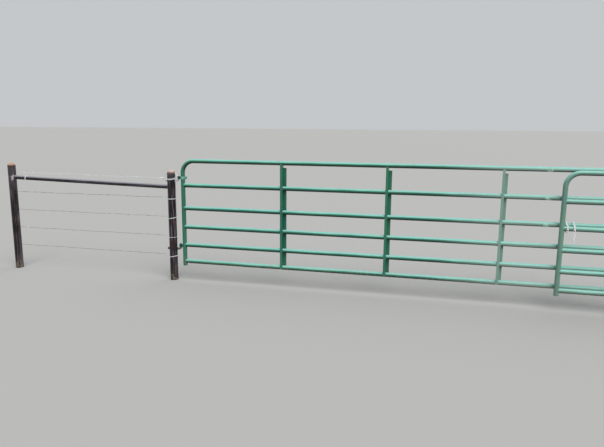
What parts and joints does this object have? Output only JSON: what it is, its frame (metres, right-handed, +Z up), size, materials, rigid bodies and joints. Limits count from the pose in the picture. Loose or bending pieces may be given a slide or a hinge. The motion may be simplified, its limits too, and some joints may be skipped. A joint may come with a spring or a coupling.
{
  "type": "double tube farm gate",
  "caption": "Pair of overlapping round-tube farm gates on braced pipe posts with fence wires; each leaf swings on its hinge pins, and a chain holds them shut.",
  "frame": {"origin": "centre of the left hinge post's foot, on the ground", "axes": "+X along the gateway from the left hinge post to the right one, +Y away from the road side, +Z up"},
  "size_m": [13.991, 0.1846, 1.4894],
  "materials": {
    "green_paint": "weathered gloss green paint",
    "rusty_pipe": "old dark mill scale with brown rust",
    "rusty_cap": "flaky orange rust",
    "fence_wire": "dull galvanised",
    "zinc_iron": "weathered zinc",
    "dark_iron": "dark rusty iron"
  },
  "bodies": {
    "posts": {"left_brace_post": "rusty_pipe", "left_brace_post_cap": "rusty_cap", "left_hinge_post": "rusty_pipe", "left_hinge_post_cap": "rusty_cap", "left_brace_rail": "rusty_pipe", "left_fence_wires": "fence_wire", "left_lower_hinge_bolt": "zinc_iron", "left_upper_hinge_bolt": "zinc_iron", "left_hinge_nuts": "dark_iron", "left_keeper_wire": "fence_wire", "right_brace_post": "rusty_pipe", "right_brace_post_cap": "rusty_cap", "right_hinge_post": "rusty_pipe", "right_hinge_post_cap": "rusty_cap", "right_brace_rail": "rusty_pipe", "right_fence_wires": "fence_wire", "right_lower_hinge_bolt": "zinc_iron", "right_upper_hinge_bolt": "zinc_iron", "right_hinge_nuts": "dark_iron", "right_keeper_wire": "fence_wire"},
    "left_leaf": {"left_frame": "green_paint", "left_rail_2": "green_paint", "left_rail_3": "green_paint", "left_rail_4": "green_paint", "left_rail_5": "green_paint", "left_rail_6": "green_paint", "left_stay_1": "green_paint", "left_stay_2": "green_paint", "left_stay_3": "green_paint", "left_lower_eye": "green_paint", "left_upper_strap": "green_paint", "left_chain": "zinc_iron"},
    "right_leaf": {"right_frame": "green_paint", "right_rail_2": "green_paint", "right_rail_3": "green_paint", "right_rail_4": "green_paint", "right_rail_5": "green_paint", "right_rail_6": "green_paint", "right_stay_1": "green_paint", "right_stay_2": "green_paint", "right_stay_3": "green_paint", "right_lower_eye": "green_paint", "right_upper_strap": "green_paint", "right_chain": "zinc_iron"}
  },
  "joints": [
    {"name": "left_leaf_swing", "type": "hinge", "parent": "posts", "child": "left_leaf", "pos_m": [0.099, 0, 0.245], "axis": [0, 0, 1], "range_deg": [0, 110]},
    {"name": "right_leaf_swing", "type": "hinge", "parent": "posts", "child": "right_leaf", "pos_m": [9.28, -0.066, 0.245], "axis": [0, 0, 1], "range_deg": [0, 110]}
  ]
}
